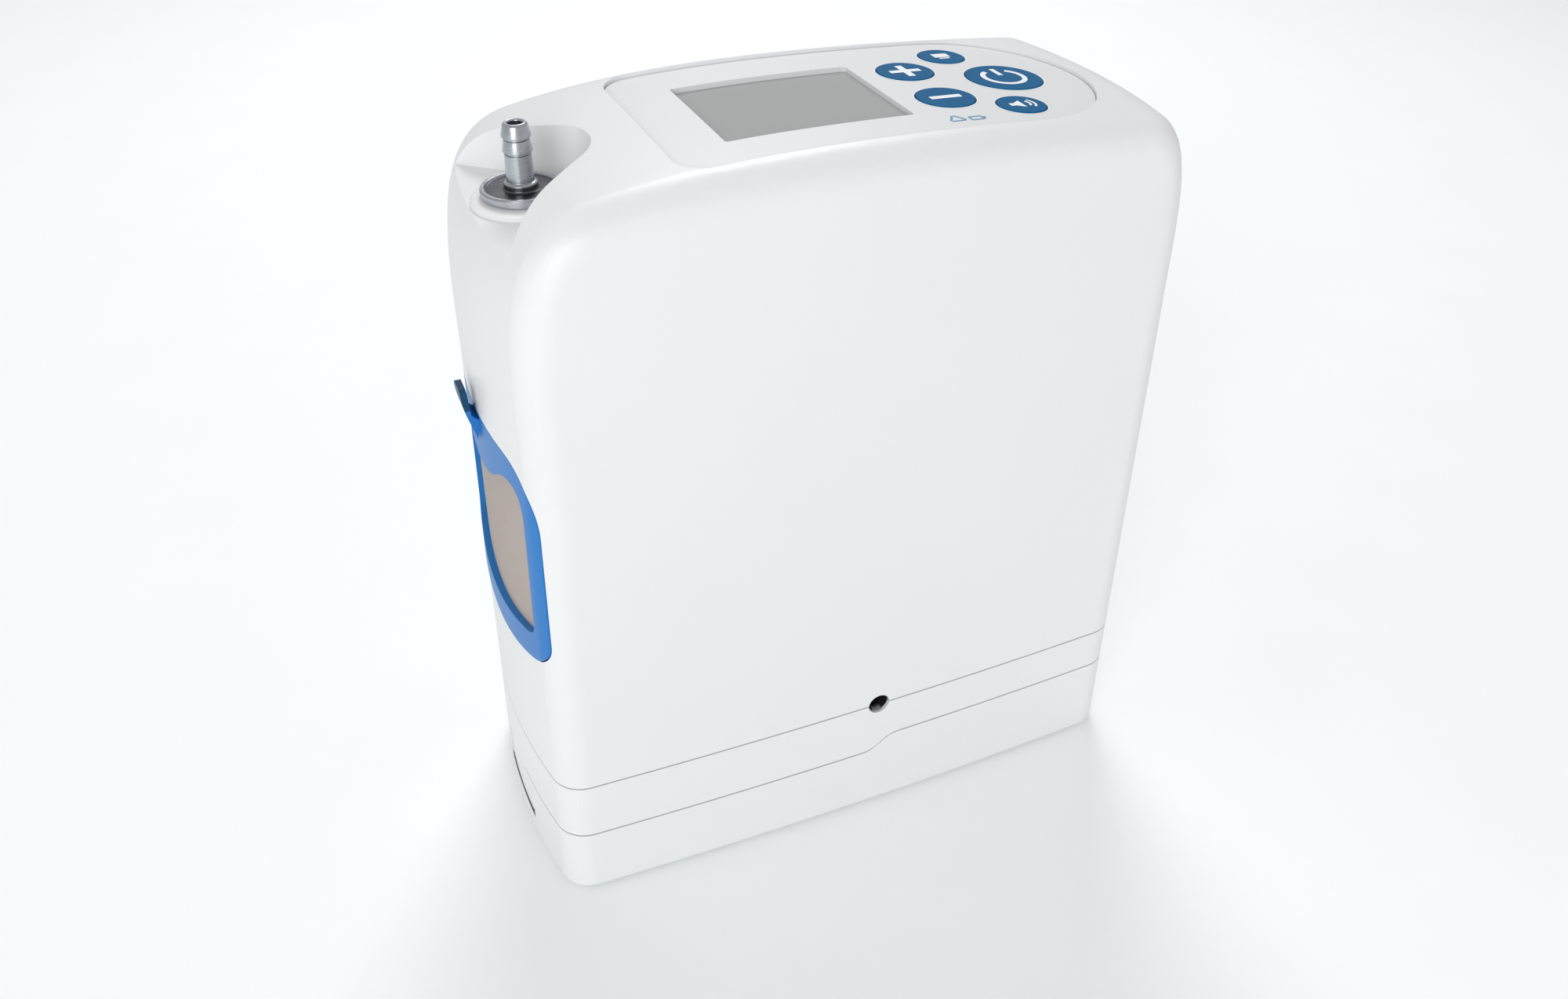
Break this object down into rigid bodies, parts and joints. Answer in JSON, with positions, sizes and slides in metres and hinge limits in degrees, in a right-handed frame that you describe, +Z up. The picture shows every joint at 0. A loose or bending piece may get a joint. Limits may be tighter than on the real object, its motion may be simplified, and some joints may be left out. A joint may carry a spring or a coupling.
{
  "type": "portable oxygen concentrator",
  "caption": "Portable oxygen concentrator: upright white case with a top control panel, barbed outlet in a scoop, side intake filters and slide-on battery base",
  "frame": {"origin": "on the surface it stands on, under the centre of its bounding box", "axes": "+X to the right along the length as the user faces the front, +Y towards the back, +Z up; the front face looks along -Y"},
  "size_m": [0.1872, 0.0828, 0.2093],
  "materials": {
    "white_plastic": "fine satin",
    "grey_plastic": "satin",
    "panel_plastic": "satin",
    "silicone": "matte, translucent",
    "blue_button": "satin",
    "clear_window": "polished",
    "lcd_glass": "reflective grey",
    "circuit_board": "solder mask",
    "dark_plastic": "satin",
    "nozzle_metal": "satin",
    "filter_blue": "satin",
    "filter_mesh": "fine weave",
    "steel": "turned",
    "cell_wrap": "shrink sleeve",
    "rubber_foot": "matte",
    "cast_aluminium": "as machined",
    "piston_plastic": "filled low-friction plastic",
    "copper": "enamelled winding",
    "zeolite": "packed beads"
  },
  "bodies": {
    "unit": {"base_band": "white_plastic", "base_screws": "steel", "battery_connector": "dark_plastic", "bed_springs": "steel", "board_components": "dark_plastic", "buzzer": "dark_plastic", "chassis": "grey_plastic", "column_base": "dark_plastic", "column_caps": "dark_plastic", "control_panel": "panel_plastic", "cover_screws": "steel", "crank_bearings": "steel", "crankcase": "cast_aluminium", "crankcase_cover": "cast_aluminium", "cylinder_heads": "cast_aluminium", "dc_jack": "dark_plastic", "dc_pin": "steel", "fan_frame": "dark_plastic", "feed_hoses": "silicone", "keypad_membrane": "silicone", "lcd_module": "lcd_glass", "lcd_window": "clear_window", "main_board": "circuit_board", "main_housing": "white_plastic", "motor_can": "steel", "motor_stator": "copper", "nozzle_seal": "silicone", "outlet_hose": "silicone", "outlet_nozzle": "nozzle_metal", "output_filter": "grey_plastic", "product_tank": "grey_plastic", "pump_cylinders": "cast_aluminium", "pump_isolators": "rubber_foot", "sieve_tubes": "cast_aluminium", "solenoid_valves": "steel", "ui_board": "circuit_board", "valve_manifold": "dark_plastic", "zeolite_beds": "zeolite"},
    "plus_button": {"plus_button": "blue_button"},
    "minus_button": {"minus_button": "blue_button"},
    "power_button": {"power_button": "blue_button"},
    "alert_button": {"alert_button": "blue_button"},
    "light_button": {"light_button": "blue_button"},
    "left_filter": {"left_filter_frame": "filter_blue", "left_filter_mesh": "filter_mesh"},
    "right_filter": {"right_filter_frame": "filter_blue", "right_filter_mesh": "filter_mesh"},
    "battery": {"battery_case": "white_plastic", "battery_lid": "grey_plastic", "battery_cells": "cell_wrap", "battery_board": "circuit_board", "battery_socket": "dark_plastic", "battery_feet": "rubber_foot", "latch_pin": "steel"},
    "battery_latch": {"battery_latch": "white_plastic"},
    "pump_crank": {"crankshaft": "steel", "motor_rotor": "steel"},
    "left_piston": {"left_piston": "piston_plastic"},
    "right_piston": {"right_piston": "piston_plastic"},
    "fan_rotor": {"fan_rotor": "dark_plastic"}
  },
  "joints": [
    {"name": "plus_press", "type": "slide", "parent": "unit", "child": "plus_button", "axis": [0, 0, -1], "range_m": [0, 0.0006], "stiffness_N_per_m": 1200},
    {"name": "minus_press", "type": "slide", "parent": "unit", "child": "minus_button", "axis": [0, 0, -1], "range_m": [0, 0.0006], "stiffness_N_per_m": 1200},
    {"name": "power_press", "type": "slide", "parent": "unit", "child": "power_button", "axis": [0, 0, -1], "range_m": [0, 0.0006], "stiffness_N_per_m": 1200},
    {"name": "alert_press", "type": "slide", "parent": "unit", "child": "alert_button", "axis": [0, 0, -1], "range_m": [0, 0.0006], "stiffness_N_per_m": 1200},
    {"name": "light_press", "type": "slide", "parent": "unit", "child": "light_button", "axis": [0, 0, -1], "range_m": [0, 0.0006], "stiffness_N_per_m": 1200},
    {"name": "left_filter_pull", "type": "slide", "parent": "unit", "child": "left_filter", "axis": [-1, 0, 0], "range_m": [0, 0.03]},
    {"name": "right_filter_pull", "type": "slide", "parent": "unit", "child": "right_filter", "axis": [1, 0, 0], "range_m": [0, 0.03]},
    {"name": "battery_slide", "type": "slide", "parent": "unit", "child": "battery", "axis": [1, 0, 0], "range_m": [0, 0.19]},
    {"name": "latch_press", "type": "hinge", "parent": "battery", "child": "battery_latch", "pos_m": [-0.08, 0, 0.017], "axis": [0, -1, 0], "range_deg": [0, 11], "stiffness_Nm_per_rad": 0.3},
    {"name": "crank_spin", "type": "hinge", "parent": "unit", "child": "pump_crank", "pos_m": [-0.008, 0, 0.073], "axis": [0, 1, 0], "continuous": true},
    {"name": "left_piston_stroke", "type": "slide", "parent": "unit", "child": "left_piston", "axis": [-1, 0, 0], "range_m": [-0.0028, 0.0028]},
    {"name": "right_piston_stroke", "type": "slide", "parent": "unit", "child": "right_piston", "axis": [1, 0, 0], "range_m": [-0.0028, 0.0028]},
    {"name": "fan_spin", "type": "hinge", "parent": "unit", "child": "fan_rotor", "pos_m": [-0.074, 0, 0.105], "axis": [1, 0, 0], "continuous": true}
  ]
}
